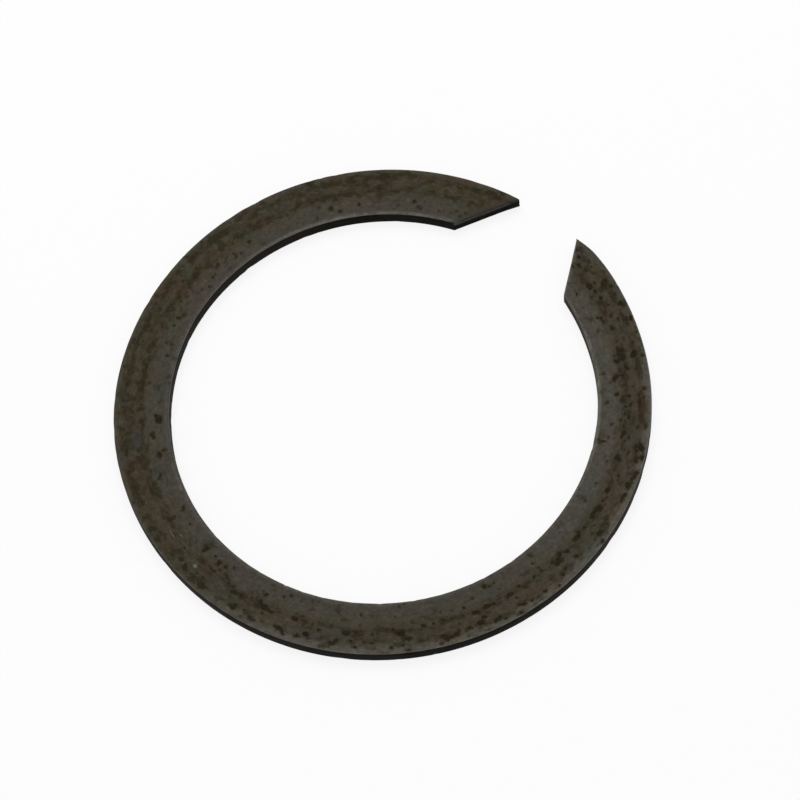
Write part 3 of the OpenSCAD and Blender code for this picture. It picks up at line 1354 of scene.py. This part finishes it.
def make_floor():
    """A wide pale disc under the ring, white to the camera, that keeps a soft shadow."""
    radius = 2.0
    corners = 96
    turn = np.linspace(0.0, 2.0 * math.pi, corners + 1)[:-1]
    rim = np.column_stack([radius * np.cos(turn), radius * np.sin(turn), np.zeros_like(turn)])
    mesh = bpy.data.meshes.new("floor")
    mesh.from_pydata(rim.tolist(), [], [list(range(len(rim)))])
    floor = new_object("floor", mesh)
    material = bpy.data.materials.new("pale_floor")
    build = fresh_nodes(material)
    seen = seen_directly(build)
    bounced_paleness = 0.45
    seen_paleness = 0.98
    paleness = build.between(seen, bounced_paleness, seen_paleness)
    pale = build.add("ShaderNodeCombineColor", {0: paleness, 1: paleness, 2: paleness})
    matte = build.add("ShaderNodeBsdfDiffuse", {"Color": pale.outputs[0]})
    white = build.add("ShaderNodeEmission", {"Color": (1.0, 1.0, 1.0, 1.0), "Strength": 1.0})
    # The rest of what the camera sees is matte, and keeps the ring's shadow
    whiteness = 0.84
    white_share = build.math("MULTIPLY", seen, whiteness)
    mixed = build.add("ShaderNodeMixShader", {0: white_share, 1: matte.outputs[0], 2: white.outputs[0]})
    build.add("ShaderNodeOutputMaterial", {"Surface": mixed.outputs[0]})
    arrange(build.tree)
    mesh.materials.append(material)


def make_lights(stage):
    """Even light from all round, which the camera sees as white, and one large soft lamp."""
    world = bpy.data.worlds.new("studio")
    build = fresh_nodes(world)
    strength = build.between(seen_directly(build), stage.fill, 1.0)
    light = build.add("ShaderNodeBackground", {"Color": (1.0, 1.0, 1.0, 1.0), "Strength": strength})
    build.add("ShaderNodeOutputWorld", {"Surface": light.outputs[0]})
    arrange(build.tree)
    bpy.context.scene.world = world
    data = bpy.data.lights.new("soft_lamp", "AREA")
    data.shape = "RECTANGLE"
    data.size = 0.5
    data.size_y = 0.35
    data.energy = stage.lamp_power
    lamp = new_object("soft_lamp", data)
    lamp.location = (-0.25, 0.2, 0.55)
    lamp.rotation_euler = (-lamp.location).to_track_quat("-Z", "Y").to_euler()


# Operators and panel


class SNAPRING_OT_stage(bpy.types.Operator):
    """Set up the camera, the pale floor and the soft light"""

    bl_idname = "snap_ring.stage"
    bl_label = "Set Up Stage"
    bl_options = {"REGISTER", "UNDO"}

    def execute(self, context):
        stage = context.scene.snap_ring_stage
        make_camera(stage)
        make_floor()
        make_lights(stage)
        context.scene.view_settings.view_transform = "Standard"
        return {"FINISHED"}


class SNAPRING_OT_ring(bpy.types.Operator):
    """Make the ring and give it its worn steel"""

    bl_idname = "snap_ring.ring"
    bl_label = "Make Ring"
    bl_options = {"REGISTER", "UNDO"}

    def execute(self, context):
        sizes = context.scene.snap_ring_sizes
        if sizes.rim_radius <= sizes.bore_radius:
            raise RuntimeError("The rim has to lie outside the bore")
        ring = ring_piece(sizes)
        ring.data.materials.append(steel_material(sizes, context.scene.snap_ring_finish))
        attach(ring, "root")
        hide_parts(NODE)
        return {"FINISHED"}


class SNAPRING_PT_panel(bpy.types.Panel):
    """Sizes, colours and steps of the snap ring"""

    bl_idname = "SNAPRING_PT_panel"
    bl_label = "Snap Ring"
    bl_space_type = "VIEW_3D"
    bl_region_type = "UI"
    bl_category = "Snap Ring"

    def draw(self, context):
        for step in STEPS:
            self.layout.operator(step.bl_idname)
        for name, group in SETTINGS.items():
            box = self.layout.box()
            for setting in group.__annotations__:
                box.prop(getattr(context.scene, name), setting)


STEPS = (SNAPRING_OT_stage, SNAPRING_OT_ring)
SETTINGS = {
    "snap_ring_sizes": RingSizes,
    "snap_ring_finish": RingFinish,
    "snap_ring_stage": StageSettings,
}


def register():
    for group in (*SETTINGS.values(), *STEPS, SNAPRING_PT_panel):
        bpy.utils.register_class(group)
    for name, group in SETTINGS.items():
        setattr(bpy.types.Scene, name, bpy.props.PointerProperty(type=group))


def unregister():
    for name in SETTINGS:
        delattr(bpy.types.Scene, name)
    for group in (SNAPRING_PT_panel, *STEPS, *SETTINGS.values()):
        bpy.utils.unregister_class(group)


def main():
    """Registers the classes, and makes the stage and the ring."""
    register()
    bpy.ops.snap_ring.stage()
    bpy.ops.snap_ring.ring()


if __name__ == "__main__":
    main()
